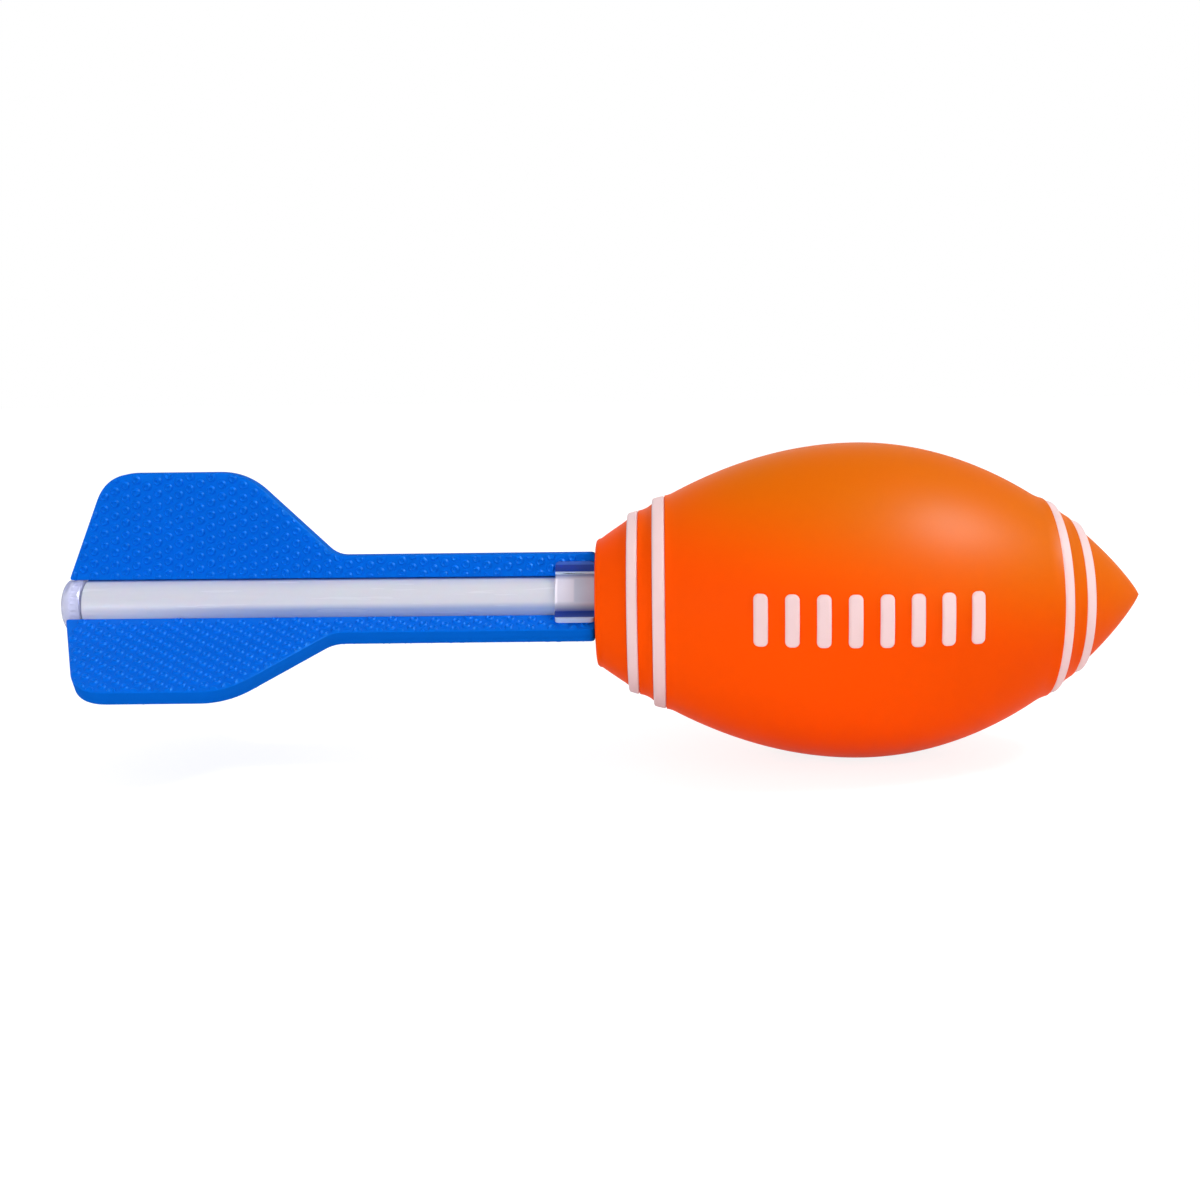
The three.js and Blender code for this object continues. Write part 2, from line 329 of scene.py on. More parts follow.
class Finish:
    """A material under construction."""

    def __init__(self, name):
        self.material = bpy.data.materials.new(name)
        self.material.use_nodes = True
        self.tree = self.material.node_tree
        self.shader = self.tree.nodes["Principled BSDF"]
        coordinates = self.tree.nodes.new("ShaderNodeTexCoord")
        self.place = coordinates.outputs["Object"]
        self.normal = coordinates.outputs["Normal"]

    def set(self, **values):
        with_inputs(self.shader, **values)

    def group(self, group, **values):
        node = self.tree.nodes.new("ShaderNodeGroup")
        node.node_tree = group
        return with_inputs(node, Position=self.place, **values).outputs[0]

    def grain(self, depth, **values):
        """Normals that the grain bends, as if it had a real depth."""
        bump = self.tree.nodes.new("ShaderNodeBump")
        height = self.group(grain_group, **values)
        return with_inputs(bump, Strength=1, Distance=depth, Height=height).outputs[0]


def separate(tree, vector):
    """The X, Y and Z of a vector."""
    return with_inputs(tree.nodes.new("ShaderNodeSeparateXYZ"), Vector=vector).outputs[:]


def faded(tree, value, start, end):
    """A mask that rises softly from 0 to 1 between two values. It falls where the end is the smaller."""
    span = tree.nodes.new("ShaderNodeMapRange")
    span.interpolation_type = "SMOOTHSTEP"
    return with_inputs(span, Value=value, From_Min=start, From_Max=end).outputs["Result"]


# %% [markdown]
# The ball is self-skinned polyurethane foam with its colour all through. Its skin is satin, so lamps
# leave a wide soft glow and no sharp spot. In the photograph the orange is redder at the belly and the
# tail, deeper towards the nose, and more yellow over the top of the nose half, where the light falls
# strongest. So three oranges are blended across the ball by soft masks, and the yellow one over the top
# is painted light.

# %% Orange foam
BELLY_ORANGE = (0.985, 0.082, 0.0008, 1)
# The crown orange is painted light: the yellow where the lamp over the nose lights the top most.
CROWN_PAINTED_LIGHT_ORANGE = (0.71, 0.152, 0.0003, 1)
NOSE_ORANGE = (0.86, 0.076, 0.0006, 1)
CROWN_X_SHARE = 0.24
CROWN_START = 16 * MM
CROWN_END = 53 * MM
NOSE_TONE_START = 55 * MM
NOSE_TONE_END = 125 * MM


def make_orange_foam():
    finish = Finish("orange_foam")
    tree = finish.tree
    x, _, z = separate(tree, finish.place)
    # The crown mask places the painted light over the top of the nose half.
    crown_height = add_math(tree, "ADD", z, add_math(tree, "MULTIPLY", x, CROWN_X_SHARE))
    crown = faded(tree, crown_height, CROWN_START, CROWN_END)
    towards_nose = faded(tree, x, NOSE_TONE_START, NOSE_TONE_END)
    below = blended(tree, BELLY_ORANGE, NOSE_ORANGE, towards_nose)
    colour = blended(tree, below, CROWN_PAINTED_LIGHT_ORANGE, crown)
    finish.set(
        Base_Color=finish.group(tone_group, Colour=colour, Drift_colour=BELLY_ORANGE, Amount=0.25),
        Roughness=finish.group(gloss_group, Roughness=0.43, Spread=0.05),
        Normal=finish.grain(depth=0.008 * MM, Grains_per_metre=2600, Pits=0.5),
        Specular_IOR_Level=0.012,
    )
    return finish.material


orange_foam = make_orange_foam()
print("made", orange_foam.name)

# %% [markdown]
# The bands and the lace bars are the same foam with a coat of white paint. Over orange foam such paint
# looks faintly pink.

# %% White paint
PAINT_WHITE = (0.88, 0.66, 0.68, 1)
PAINT_PINK = (0.87, 0.63, 0.63, 1)


def make_white_paint():
    finish = Finish("white_paint")
    finish.set(
        Base_Color=finish.group(
            tone_group, Colour=PAINT_WHITE, Drift_colour=PAINT_PINK, Patches_per_metre=160, Amount=0.8
        ),
        Roughness=finish.group(gloss_group, Roughness=0.42, Spread=0.12, Patches_per_metre=300),
        Normal=finish.grain(depth=0.02 * MM, Grains_per_metre=2200, Pits=0.4),
        Specular_IOR_Level=0.008,
    )
    return finish.material


white_paint = make_white_paint()
print("made", white_paint.name)

# %% [markdown]
# The fins are cut from embossed EVA sheet: a dense closed-cell foam with a soft sheen on its faces, tinted
# blue so that white lamps don't leave a grey haze on it. The cut edges show the foam's inside and are a
# little rougher, and their colour is a little darker as painted shade. The normal tells them apart: a
# face looks across the plane that holds the toy's axis and the place itself, and a cut edge looks along
# that plane.

# %% Blue foam
FIN_BLUE = (0.0012, 0.143, 0.750, 1)
FIN_BLUE_DEEP = (0.0010, 0.125, 0.660, 1)
# Painted shade: the cut edges are coloured a little darker than the faces.
CUT_EDGE_SHADE_BLUE = (0.0008, 0.121, 0.610, 1)
CUT_EDGE_ROUGHNESS = 0.6
EDGE_TURN_NONE = 0.45
EDGE_TURN_FULL = 0.10
FOAM_SHINE_TINT = (0.08, 0.50, 1.0, 1)


def cut_edge_mask(finish):
    """1 on a fin's cut edges and 0 on its faces."""
    tree = finish.tree
    _, y, z = separate(tree, finish.place)
    _, normal_y, normal_z = separate(tree, finish.normal)
    first = add_math(tree, "MULTIPLY", y, normal_z)
    second = add_math(tree, "MULTIPLY", z, normal_y)
    across = add_math(tree, "ABSOLUTE", add_math(tree, "SUBTRACT", first, second))
    squares = add_math(tree, "ADD", add_math(tree, "MULTIPLY", y, y), add_math(tree, "MULTIPLY", z, z))
    turn = add_math(tree, "DIVIDE", across, add_math(tree, "SQRT", squares))
    return faded(tree, turn, EDGE_TURN_NONE, EDGE_TURN_FULL)


def make_blue_foam():
    finish = Finish("blue_foam")
    edge = cut_edge_mask(finish)
    colour = blended(finish.tree, FIN_BLUE, CUT_EDGE_SHADE_BLUE, edge)
    face_roughness = finish.group(gloss_group, Roughness=0.36, Spread=0.10, Patches_per_metre=200)
    edge_roughness = add_math(finish.tree, "MULTIPLY", edge, CUT_EDGE_ROUGHNESS)
    finish.set(
        Base_Color=finish.group(
            tone_group, Colour=colour, Drift_colour=FIN_BLUE_DEEP, Patches_per_metre=90, Amount=0.7
        ),
        Roughness=add_math(finish.tree, "ADD", face_roughness, edge_roughness),
        Normal=finish.grain(depth=0.02 * MM, Grains_per_metre=3500, Pits=0.6),
        Specular_IOR_Level=0.046,
        Specular_Tint=FOAM_SHINE_TINT,
    )
    return finish.material


blue_foam = make_blue_foam()
print("made", blue_foam.name)

# %% [markdown]
# In the photograph the tail stands a little high, by about 0.3 mm at the head and by more towards its
# end. The tube, the cap and the ferrule follow it here, and so do the patterns on them. One helper raises
# the points of a piece. Another tells a material how far out from the tail's own axis a place lies.

# %% How the tail stands
TAIL_LIFT = 0.28 * MM
TAIL_TILT_SHARE = 0.0026
FIN_ANGLES = [math.tau * index / 3 for index in range(3)]

head_low, head_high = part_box("head_foam")
tube_low, tube_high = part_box("shaft_tube")
head_rear = head_low.x


def lifted_tail(points):
    """The points of a tail piece, raised as the tail stands in the photograph."""
    return [
        (along, side, up + TAIL_LIFT + (head_rear - along) * TAIL_TILT_SHARE)
        for along, side, up in points
    ]


def reach_towards(tree, axes, angle):
    """How far out from the tail's axis a place lies in the direction of a fin."""
    x, y, z = axes
    side = add_math(tree, "MULTIPLY", y, -math.sin(angle))
    level = add_math(tree, "ADD", z, add_math(tree, "MULTIPLY", x, TAIL_TILT_SHARE))
    height = add_math(tree, "SUBTRACT", level, TAIL_LIFT + head_rear * TAIL_TILT_SHARE)
    return add_math(tree, "ADD", side, add_math(tree, "MULTIPLY", height, math.cos(angle)))


print("tail lift in mm:", [round(lifted_tail([(x, 0, 0)])[0][2] / MM, 2) for x in (tail_tip, head_rear)])

# %% [markdown]
# The shaft is an extruded tube of milky plastic. Light enters it and scatters, so it looks evenly bright
# with faint lines along its length from the die: a noise that is stretched along X. Beside each fin the
# colour turns a darker blue, which is painted light: the shadow under the fin's foot and the blue light
# that the fin throws on the tube. That painted shade is a mask round the tube, full close to a fin and
# gone a few degrees further, and the lower ones fade at the tail.

# %% Milky plastic
MILKY_WHITE = (0.63, 0.635, 0.72, 1)
MILKY_GREY = (0.575, 0.60, 0.69, 1)
DIE_LINE_STRETCH = (0.06, 1, 1)
# Painted shade and painted blue bounce light beside each fin.
FIN_SHADE_AND_BOUNCE_BLUE = (0.05, 0.18, 0.52, 1)
SHADE_UNDER_TOP_FIN = (math.radians(24), math.radians(10))
SHADE_BESIDE_LOW_FIN = (math.radians(42), math.radians(24))
PAINTED_SHADE_SPANS = [SHADE_UNDER_TOP_FIN, SHADE_BESIDE_LOW_FIN, SHADE_BESIDE_LOW_FIN]
LOW_SHADE_SHARE = 0.62
SHADE_TAIL_START = -160 * MM
SHADE_TAIL_END = -90 * MM

tube_radius = tube_high.z


def fin_shade_mask(finish):
    """A mask of painted shade round the tube: 1 beside each fin, fading out round the tube and at the tail.
    """
    tree = finish.tree
    axes = separate(tree, finish.place)
    beside = []
    for angle, (none, full) in zip(FIN_ANGLES, PAINTED_SHADE_SPANS):
        reach = reach_towards(tree, axes, angle)
        beside.append(faded(tree, reach, tube_radius * math.cos(none), tube_radius * math.cos(full)))
    away_from_tail = faded(tree, axes[0], SHADE_TAIL_START, SHADE_TAIL_END)
    total, *low_ones = beside
    for low_one in low_ones:
        weak = add_math(tree, "MULTIPLY", low_one, LOW_SHADE_SHARE)
        total = add_math(tree, "ADD", total, add_math(tree, "MULTIPLY", weak, away_from_tail))
    return total


def make_milky_plastic():
    finish = Finish("milky_plastic")
    fin_shade = fin_shade_mask(finish)
    stretch = finish.tree.nodes.new("ShaderNodeMapping")
    finish.place = with_inputs(stretch, Scale=DIE_LINE_STRETCH, Vector=finish.place).outputs[0]
    tone = finish.group(
        tone_group, Colour=MILKY_WHITE, Drift_colour=MILKY_GREY, Patches_per_metre=900, Amount=0.8
    )
    finish.set(
        Base_Color=blended(finish.tree, tone, FIN_SHADE_AND_BOUNCE_BLUE, fin_shade),
        Roughness=finish.group(gloss_group, Roughness=0.26, Spread=0.10, Patches_per_metre=700),
        Normal=finish.grain(depth=0.02 * MM, Grains_per_metre=1200, Pits=0.1),
        Subsurface_Weight=0.2,
        Subsurface_Scale=3 * MM,
    )
    return finish.material


milky_plastic = make_milky_plastic()
print("made", milky_plastic.name)

# %% [markdown]
# The end cap is clear plastic with a slight blue-violet tint. Most of its light goes through, and the
# rest is scattered, which keeps the thin shell from vanishing against the white room.

# %% Clear plastic
CLEAR_VIOLET = (0.76, 0.78, 0.93, 1)
CLEAR_VIOLET_DEEP = (0.66, 0.68, 0.87, 1)
CLEAR_IOR = 1.3


def make_clear_plastic():
    finish = Finish("clear_plastic")
    finish.set(
        Base_Color=finish.group(
            tone_group, Colour=CLEAR_VIOLET, Drift_colour=CLEAR_VIOLET_DEEP, Patches_per_metre=400, Amount=0.8
        ),
        Roughness=finish.group(gloss_group, Roughness=0.09, Spread=0.04, Patches_per_metre=500),
        Normal=finish.grain(depth=0.01 * MM, Grains_per_metre=700, Pits=0.1),
        Transmission_Weight=0.62,
        IOR=CLEAR_IOR,
    )
    return finish.material


clear_plastic = make_clear_plastic()
print("made", clear_plastic.name)

# %% [markdown]
# The ferrule is the same clear plastic, but a thick one with dark foam in its slots. Fully clear it came
# out too pale in a white room. So it is mostly matt here, and its colour paints what lies behind it and
# the light on it: a colour ramp goes by the reach out from the axis towards the nearest fin, from the tube
# through the edge of the slot to the foam, dark blue in painted shade, and to the wing tips, pale with a
# painted highlight. Four masks add the solid plug in front of the tube, a painted highlight on the rear
# edge of the hub, a painted highlight line along the upper wings and their deep blue rim in painted shade.

# %% Ferrule plastic
# The dark blue stops are painted shade over the foam, and the last stop a painted highlight on the wing tips.
FERRULE_TONES_AND_PAINTED_LIGHT = [
    (0.0, (0.76, 0.74, 0.83, 1)),
    (7.6, (0.72, 0.70, 0.81, 1)),
    (8.7, (0.26, 0.29, 0.44, 1)),
    (9.3, (0.008, 0.040, 0.33, 1)),
    (11.9, (0.020, 0.060, 0.38, 1)),
    (12.1, (0.55, 0.70, 1.0, 1)),
]
FERRULE_TONES_REACH = 13 * MM
STOPS_OF_A_NEW_RAMP = 2
PLUG_TONE = (0.56, 0.60, 0.74, 1)
PLUG_TONE_FADE = 0.6 * MM
PLUG_TONE_REACH = 8.2 * MM
HUB_EDGE_PAINTED_HIGHLIGHT = (0.95, 0.92, 1.0, 1)
HUB_EDGE_END = 1.0 * MM
UPPER_WING_PAINTED_HIGHLIGHT = (0.66, 0.82, 1.0, 1)
HIGHLIGHT_LINE_START = 9.0 * MM
HIGHLIGHT_LINE_END = 9.6 * MM
PAINTED_MASK_FADE = 0.12 * MM
TOP_RIM_PAINTED_SHADE = (0.05, 0.15, 0.62, 1)
TOP_RIM_START = 11.7 * MM
HUB_LENGTH = 11.9 * MM

hub_rear = head_rear - HUB_LENGTH


def ferrule_ramp(tree, reach):
    """The colour of what lies behind the ferrule, in painted shade, and a painted highlight on the wing tips,
    by the reach towards the nearest fin.
    """
    ramp = tree.nodes.new("ShaderNodeValToRGB")
    with_inputs(ramp, Fac=add_math(tree, "DIVIDE", reach, FERRULE_TONES_REACH))
    stops = ramp.color_ramp.elements
    for index, (millimetres, colour) in enumerate(FERRULE_TONES_AND_PAINTED_LIGHT):
        place = millimetres * MM / FERRULE_TONES_REACH
        stop = stops[index] if index < STOPS_OF_A_NEW_RAMP else stops.new(place)
        stop.position = place
        stop.color = colour
    return ramp.outputs[0]


def make_ferrule_plastic():
    finish = Finish("ferrule_plastic")
    tree = finish.tree
    axes = separate(tree, finish.place)
    top_reach, *low_reaches = [reach_towards(tree, axes, angle) for angle in FIN_ANGLES]
    reach = top_reach
    for low_reach in low_reaches:
        reach = add_math(tree, "MAXIMUM", reach, low_reach)
    past_tube = faded(tree, axes[0], tube_high.x, tube_high.x + PLUG_TONE_FADE)
    in_hub = faded(tree, reach, PLUG_TONE_REACH, PLUG_TONE_REACH - PLUG_TONE_FADE)
    hub_edge_highlight = faded(tree, axes[0], hub_rear + HUB_EDGE_END, hub_rear + HUB_EDGE_END / 2)
    top_rim_shade = faded(tree, top_reach, TOP_RIM_START, TOP_RIM_START + PAINTED_MASK_FADE)
    above = faded(tree, top_reach, HIGHLIGHT_LINE_START - PAINTED_MASK_FADE, HIGHLIGHT_LINE_START)
    below = faded(tree, top_reach, HIGHLIGHT_LINE_END + PAINTED_MASK_FADE, HIGHLIGHT_LINE_END)
    tone = ferrule_ramp(tree, reach)
    # The plug keeps its own grey; the hub edge and the upper wing line are painted highlights, the top rim
    # painted shade.
    for colour, mask in (
        (PLUG_TONE, add_math(tree, "MULTIPLY", past_tube, in_hub)),
        (HUB_EDGE_PAINTED_HIGHLIGHT, add_math(tree, "MULTIPLY", hub_edge_highlight, in_hub)),
        (TOP_RIM_PAINTED_SHADE, top_rim_shade),
        (UPPER_WING_PAINTED_HIGHLIGHT, add_math(tree, "MULTIPLY", above, below)),
    ):
        tone = blended(tree, tone, colour, mask)
    finish.set(
        Base_Color=tone,
        Roughness=finish.group(gloss_group, Roughness=0.12, Spread=0.06, Patches_per_metre=500),
        Normal=finish.grain(depth=0.01 * MM, Grains_per_metre=700, Pits=0.1),
        Transmission_Weight=0.25,
        IOR=CLEAR_IOR,
        Specular_IOR_Level=0.25,
    )
    return finish.material


ferrule_plastic = make_ferrule_plastic()
print("materials:", [material.name for material in bpy.data.materials])

# %% [markdown]
# Most pieces are turned: an outline of places along the axis and radii, swept round the axis. Others are
# stacks of rings of points. Small helpers make their points and faces, and one more turns any points and
# faces into a piece that rides on the toy's body and stands in for its CAD nodes.

# %% Mesh helpers
AXIS_TOUCH = 0.001 * MM
SHARP_ANGLE = math.radians(38)
FINE_SIDES = 192


def turned(outline, sides=FINE_SIDES, closed=False):
    """Points and faces of an outline, given as (along X, radius), turned about the axis."""
    points = []
    rings = []
    for along, radius in outline:
        count = 1 if radius < AXIS_TOUCH else sides
        rings.append([len(points) + step for step in range(count)])
        for step in range(count):
            angle = math.tau * step / sides
            points.append((along, radius * math.sin(angle), radius * math.cos(angle)))
    following = rings[1:] + (rings[:1] if closed else [])
    faces = []
    for ring, after_ring in zip(rings, following):
        for step in range(sides):
            after = (step + 1) % sides
            corners = [ring[step % len(ring)], ring[after % len(ring)]]
            corners += [after_ring[after % len(after_ring)], after_ring[step % len(after_ring)]]
            faces.append(list(dict.fromkeys(corners)))
    return points, faces


def ring_faces(count, rings):
    """Faces between rings of points that are listed one after another."""
    faces = []
    for base in range(0, (rings - 1) * count, count):
        for step in range(count):
            after = (step + 1) % count
            faces.append((base + step, base + after, base + count + after, base + count + step))
    return faces


def quarter_turn(steps):
    """Sine and cosine at even steps through a quarter of a circle."""
    angles = [math.radians(90) * step / steps for step in range(steps + 1)]
    return [(math.sin(angle), math.cos(angle)) for angle in angles]


def even_steps(start, end, step):
    """Places from start to end, no further apart than a step."""
    count = max(1, math.ceil(abs(end - start) / step))
    return [start + (end - start) * index / count for index in range(count + 1)]


def make_mesh(name, points, faces, material):
    mesh = bpy.data.meshes.new(name)
    mesh.from_pydata(points, [], faces)
    shell = bmesh.new()
    shell.from_mesh(mesh)
    bmesh.ops.recalc_face_normals(shell, faces=shell.faces)
    shell.to_mesh(mesh)
    shell.free()
    mesh.shade_smooth()
    mesh.set_sharp_from_angle(angle=SHARP_ANGLE)
    mesh.materials.append(material)
    return mesh


def add_piece(name, mesh, slot, *stands_for):
    piece = bpy.data.objects.new(name, mesh)
    bpy.context.scene.collection.objects.link(piece)
    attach(piece, BODY)
    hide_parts(*stands_for)
    places = np.array([vertex.co for vertex in mesh.vertices])
    size = [round(float(extent) / MM, 1) for extent in np.ptp(places, axis=0)]
    print(name, "mm:", size, "faces:", len(mesh.polygons))
    return piece


# %% [markdown]
# The head is a football of revolution, cut off flat at its rear, where the tail goes in. Its radius
# falls away from the widest place as a power of (1 - share squared), with one power towards the tail
# and another towards the pointed nose. Next to the raised bands the mould leaves a soft shoulder of
# orange foam, which dies away along the skin.

# %% The football's profile
HEAD_RADIUS = head_high.z
WIDEST_BEHIND_NOSE = 84 * MM
HEAD_REAR_REACH = 99.1 * MM
REAR_FULLNESS = 1.03
NOSE_FULLNESS = 0.884

widest_at = nose_tip - WIDEST_BEHIND_NOSE


def skin_radius(along):
    towards_nose = along > widest_at
    reach = nose_tip - widest_at if towards_nose else HEAD_REAR_REACH
    fullness = NOSE_FULLNESS if towards_nose else REAR_FULLNESS
    share = min(abs(along - widest_at) / reach, 1)
    return HEAD_RADIUS * (1 - share * share) ** fullness


class Band:
    """A raised white band, with the shoulder of foam on its tail side and on its nose side."""

    def __init__(self, node, top, tail_shoulder, nose_shoulder):
        low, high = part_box(node)
        self.node = node
        self.start = low.x
        self.end = high.x
        self.top = top
        self.tail_height, self.tail_reach = tail_shoulder
        self.nose_height, self.nose_reach = nose_shoulder

    def shoulder(self, along):
        if along <= self.start:
            away = (self.start - along) / self.tail_reach
            return self.tail_height * max(0, 1 - away) ** 2
        if along >= self.end:
            away = (along - self.end) / self.nose_reach
            return self.nose_height * max(0, 1 - away) ** 2
        share = (along - self.start) / (self.end - self.start)
        return self.tail_height + (self.nose_height - self.tail_height) * share


BANDS = [
    Band("rear_band_1", 1.35 * MM, (0.2 * MM, 1.2 * MM), (0.75 * MM, 3.0 * MM)),
    Band("rear_band_2", 1.15 * MM, (0.3 * MM, 1.2 * MM), (0.60 * MM, 2.6 * MM)),
    Band("nose_band_1", 1.05 * MM, (0.9 * MM, 4.0 * MM), (0.75 * MM, 9.0 * MM)),
    Band("nose_band_2", 0.95 * MM, (0.75 * MM, 9.0 * MM), (0.25 * MM, 1.5 * MM)),
]


def foam_radius(along):
    """The skin with the shoulders next to the bands."""
    return skin_radius(along) + max(band.shoulder(along) for band in BANDS)


print("widest at", round(widest_at / MM, 1), "mm, radius", round(foam_radius(widest_at) / MM, 1), "mm")

# %% [markdown]
# The outline of the head starts in the blind socket for the ferrule, goes round the rear edge and along
# the skin to the nose. Each band lies in a shallow groove, which draws a thin dark line along its edges.
# In the photograph the soft nose points up a little, less than a millimetre at its tip.

# %% Head
REAR_EDGE_ROUND = 1.5 * MM
REAR_EDGE_TURNS = (30, 60)
REAR_FACE_STEP = 2 * MM
HEAD_STEP = 0.8 * MM
SOCKET_RADIUS = 8.3 * MM
SOCKET_DEPTH = 36.3 * MM
NOSE_LIFT = 0.8 * MM
GROOVE_GAP = 0.15 * MM
GROOVE_DEPTH = 0.45 * MM


def with_lifted_nose(points):
    """Bends the nose half of the foam gently upwards, as one piece."""
    bent = []
    for along, side, up in points:
        share = max(0, (along - widest_at) / WIDEST_BEHIND_NOSE)
        slope = 2 * NOSE_LIFT * share / WIDEST_BEHIND_NOSE
        bent.append((along - up * slope, side, up + NOSE_LIFT * share * share))
    return bent


def head_outline():
    socket_end = head_rear + SOCKET_DEPTH
    outline = [(socket_end, 0), (socket_end, SOCKET_RADIUS), (head_rear, SOCKET_RADIUS)]
    rim = head_rear + REAR_EDGE_ROUND
    face_radius = foam_radius(rim) - REAR_EDGE_ROUND
    outline += [(head_rear, radius) for radius in even_steps(SOCKET_RADIUS, face_radius, REAR_FACE_STEP)[1:]]
    for turn in REAR_EDGE_TURNS:
        angle = math.radians(turn)
        along = rim - REAR_EDGE_ROUND * math.cos(angle)
        outline.append((along, face_radius + REAR_EDGE_ROUND * math.sin(angle)))
    place = rim
    for band in BANDS:
        groove_start = band.start - GROOVE_GAP
        groove_end = band.end + GROOVE_GAP
        outline += [(along, foam_radius(along)) for along in even_steps(place, groove_start, HEAD_STEP / 2)]
        outline.append((groove_start + GROOVE_GAP / 2, foam_radius(groove_start) - GROOVE_DEPTH))
        outline.append((groove_end - GROOVE_GAP / 2, foam_radius(groove_end) - GROOVE_DEPTH))
        place = groove_end
    return outline + [(along, foam_radius(along)) for along in even_steps(place, nose_tip, HEAD_STEP)]


head_points, head_faces = turned(head_outline())
head_mesh = make_mesh("foam_head", with_lifted_nose(head_points), head_faces, orange_foam)
head = add_piece("foam_head", head_mesh, "orange_foam", "head_foam")

# %% [markdown]
# A band is a low rounded ridge. Its section is drawn once: straight walls up from the groove, and a top
# that is rounded at both edges. The top is nearly level along the toy's axis, as the mould leaves it, and
# follows the slope of the skin only in part.

# %% Bands
BAND_EDGE_ROUND = 0.7 * MM
BAND_ROUND_STEPS = 5
BAND_TILT_SHARE = 0.45


def band_section(band):
    middle = (band.start + band.end) / 2
    slope = (skin_radius(band.end) - skin_radius(band.start)) / (band.end - band.start)

    def on_top(along, sine):
        """A place on the top, lower where the rounding has turned less far."""
        level = skin_radius(middle) + band.top + BAND_TILT_SHARE * slope * (along - middle)
        return along, level - BAND_EDGE_ROUND * (1 - sine)

    edge = [(sine, BAND_EDGE_ROUND * (1 - cosine)) for sine, cosine in quarter_turn(BAND_ROUND_STEPS)]
    section = [(band.start, foam_radius(band.start) - GROOVE_DEPTH)]
    section += [on_top(band.start + inward, sine) for sine, inward in edge]
    section += [on_top(band.end - inward, sine) for sine, inward in reversed(edge)]
    return section + [(band.end, foam_radius(band.end) - GROOVE_DEPTH)]


for band in BANDS:
    points, faces = turned(band_section(band), closed=True)
    mesh = make_mesh(band.node, with_lifted_nose(points), faces, white_paint)
    add_piece(band.node + "_relief", mesh, "white_paint", band.node)

# %% [markdown]
# The lace bars stand in a row on the side that faces the camera. Each is a pillow: a rounded rectangle
# that rises straight out of the skin, curls over at its edge and follows the skin's curve on top. It is
# built from rings that shrink towards the bar's middle line, and the last ring is closed across.

# %% Lace bars
LACE_COUNT = 8
LACE_LENGTH = 14.4 * MM
LACE_ROW_TURN = math.radians(1.9)
LACE_SUNK = 0.5 * MM
LACE_RAISE = 0.9 * MM
LACE_EDGE_ROUND = 0.75 * MM
LACE_CORNER = 1.5 * MM
LACE_LEAST_CORNER = 0.1 * MM
LACE_LAST_RING_SHARE = 0.9
LACE_CORNER_STEPS = 6
LACE_SIDE_STEPS = 14
LACE_ROUND_STEPS = 6


def rounded_rectangle(half_width, half_length, corner):
    """Points round a rectangle with rounded corners, mirrored in pairs about its long middle line."""
    straight = half_length - corner
    narrow = half_width - corner
    turns = quarter_turn(LACE_CORNER_STEPS)
    side = even_steps(-straight, straight, 2 * straight / LACE_SIDE_STEPS)[1:-1]
    right = [(narrow + corner * sine, -straight - corner * cosine) for sine, cosine in turns]
    right += [(half_width, along) for along in side]
    right += [(narrow + corner * cosine, straight + corner * sine) for sine, cosine in turns]
    return right + [(-across, along) for across, along in reversed(right)]


def lace_layers(half_width):
    """(inset, height) of each ring of a bar, from its sunk foot to the middle of its top."""
    layers = [(0, -LACE_SUNK), (0, 0)]
    for sine, cosine in quarter_turn(LACE_ROUND_STEPS):
        layers.append((LACE_EDGE_ROUND * (1 - cosine), LACE_RAISE - LACE_EDGE_ROUND * (1 - sine)))
    layers.append(((LACE_EDGE_ROUND + half_width) / 2, LACE_RAISE))
    layers.append((half_width * LACE_LAST_RING_SHARE, LACE_RAISE))
    return layers


def lace_bar(index):
    node = f"lace_bar_{index + 1}"
    low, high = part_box(node)
    centre = (low.x + high.x) / 2
    half_width = (high.x - low.x) / 2
    layers = lace_layers(half_width)
    points = []
    for inset, height in layers:
        corner = max(LACE_CORNER - inset, LACE_LEAST_CORNER)
        for across, up in rounded_rectangle(half_width - inset, LACE_LENGTH / 2 - inset, corner):
            along = centre + across
            radius = foam_radius(along) + height
            points.append((along, -math.sqrt(radius * radius - up * up), up))
    count = len(points) // len(layers)
    faces = ring_faces(count, len(layers))
    for base in (0, len(points) - count):
        for step in range(count // 2 - 1):
            faces.append((base + step, base + step + 1, base + count - 2 - step, base + count - 1 - step))
    turn = Matrix.Rotation(-LACE_ROW_TURN, 3, "X")
    points = with_lifted_nose([turn @ Vector(point) for point in points])
    add_piece(node + "_relief", make_mesh(node, points, faces, white_paint), "white_paint", node)


for index in range(LACE_COUNT):
    lace_bar(index)

# %% [markdown]
# A fin is a sheet of foam. Its outline has rounded corners at the tail and where it narrows to the long
# neck. No two cut sheets are quite alike, so the corners of each fin slide by a fraction of a millimetre
# along or away from the tube, as in the photograph. A corner's curve is drawn as a quadratic curve
# between the two places where it leaves the straight sides.

# %% Outline of a fin
FIN_TAIL_CORNER_AT = 14.7 * MM
FIN_FRONT_CORNER_AT = 55.6 * MM
FIN_NECK_START_AT = 81.2 * MM
FIN_NECK_RADIUS = 15.1 * MM
FIN_ROOT_ROUND = 0.8 * MM
FIN_TAIL_CORNER_ROUND = 12.6 * MM
FIN_FRONT_CORNER_ROUND = 19.6 * MM
FIN_NECK_CORNER_ROUND = 7.7 * MM
FIN_NECK_END_ROUND = 1.2 * MM
FIN_OUTLINE_STEP = 0.5 * MM
SEAT_FRONT_SHARE = 0.3
# How far a fin's root at the tail, its outer tail corner and its neck slide forward, and its foot outward.
FIN_SLIDES = {
    "top_fin": (0.1 * MM, 0.7 * MM, 0, 0.45 * MM),
    "right_fin": (0.5 * MM, -0.5 * MM, 0.7 * MM, -0.6 * MM),
    "left_fin": (0, 0, 0, -0.4 * MM),
}

fin_low, fin_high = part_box("top_fin")
fin_half_thickness = (fin_high.y - fin_low.y) / 2


